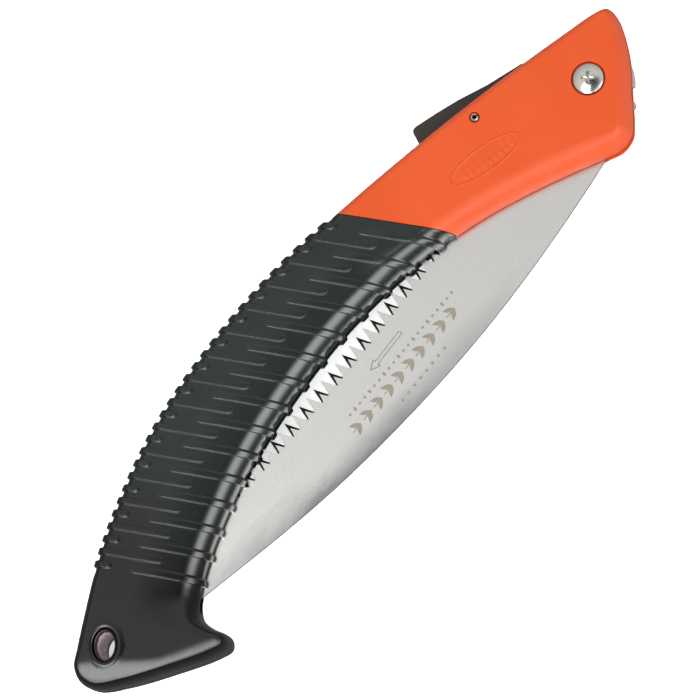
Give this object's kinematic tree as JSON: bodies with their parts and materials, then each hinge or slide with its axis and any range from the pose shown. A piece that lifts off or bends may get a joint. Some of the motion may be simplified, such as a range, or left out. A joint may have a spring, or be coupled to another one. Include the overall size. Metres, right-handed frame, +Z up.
{
  "type": "folding pruning saw",
  "caption": "Folding pruning saw, folded: curved handle of half shells with a ribbed rubber grip, toothed blade on a bolted pivot and a sprung lock lever.",
  "frame": {"origin": "centre of the folded saw's bounding box in X and Y, on the surface it lies on in Z", "axes": "+X along the saw towards the blade pivot, +Y towards the spine of the handle and the lock lever, +Z up through the handle's thickness, along the pivot bolt towards its head"},
  "size_m": [0.3174, 0.079, 0.0257],
  "materials": {
    "housing_plastic": "satin orange moulded plastic",
    "grip_rubber": "satin black moulded rubber with raised ribs",
    "blade_steel": "finely ground steel",
    "bright_steel": "polished plated steel",
    "plain_steel": "plain plated steel",
    "lever_plastic": "matte dark grey plastic",
    "spring_steel": "drawn spring wire"
  },
  "bodies": {
    "handle": {"pivot_bush": "plain_steel", "pivot_washer_near": "plain_steel", "pivot_washer_far": "plain_steel", "pivot_bolt": "bright_steel", "pivot_nut": "bright_steel", "lever_pin": "plain_steel", "lever_spring": "spring_steel", "stop_pin": "plain_steel", "housing_near": "housing_plastic", "housing_far": "housing_plastic", "grip_near": "grip_rubber", "grip_far": "grip_rubber", "lanyard_eyelet": "plain_steel", "housing_screw_1": "plain_steel", "housing_screw_2": "plain_steel", "housing_screw_3": "plain_steel", "housing_screw_4": "plain_steel", "housing_screw_5": "plain_steel"},
    "blade": {"blade": "blade_steel"},
    "lever": {"lock_lever": "lever_plastic"}
  },
  "joints": [
    {"name": "blade_fold", "type": "hinge", "parent": "handle", "child": "blade", "pos_m": [0.13275, -0.01418, 0.0127], "axis": [0, 0, 1], "range_deg": [0, 180]},
    {"name": "lever_press", "type": "hinge", "parent": "handle", "child": "lever", "pos_m": [0.09595, 0.01091, 0.0127], "axis": [0, 0, 1], "range_deg": [0, 7], "stiffness_Nm_per_rad": 0.54, "springref_deg": -8.59}
  ]
}
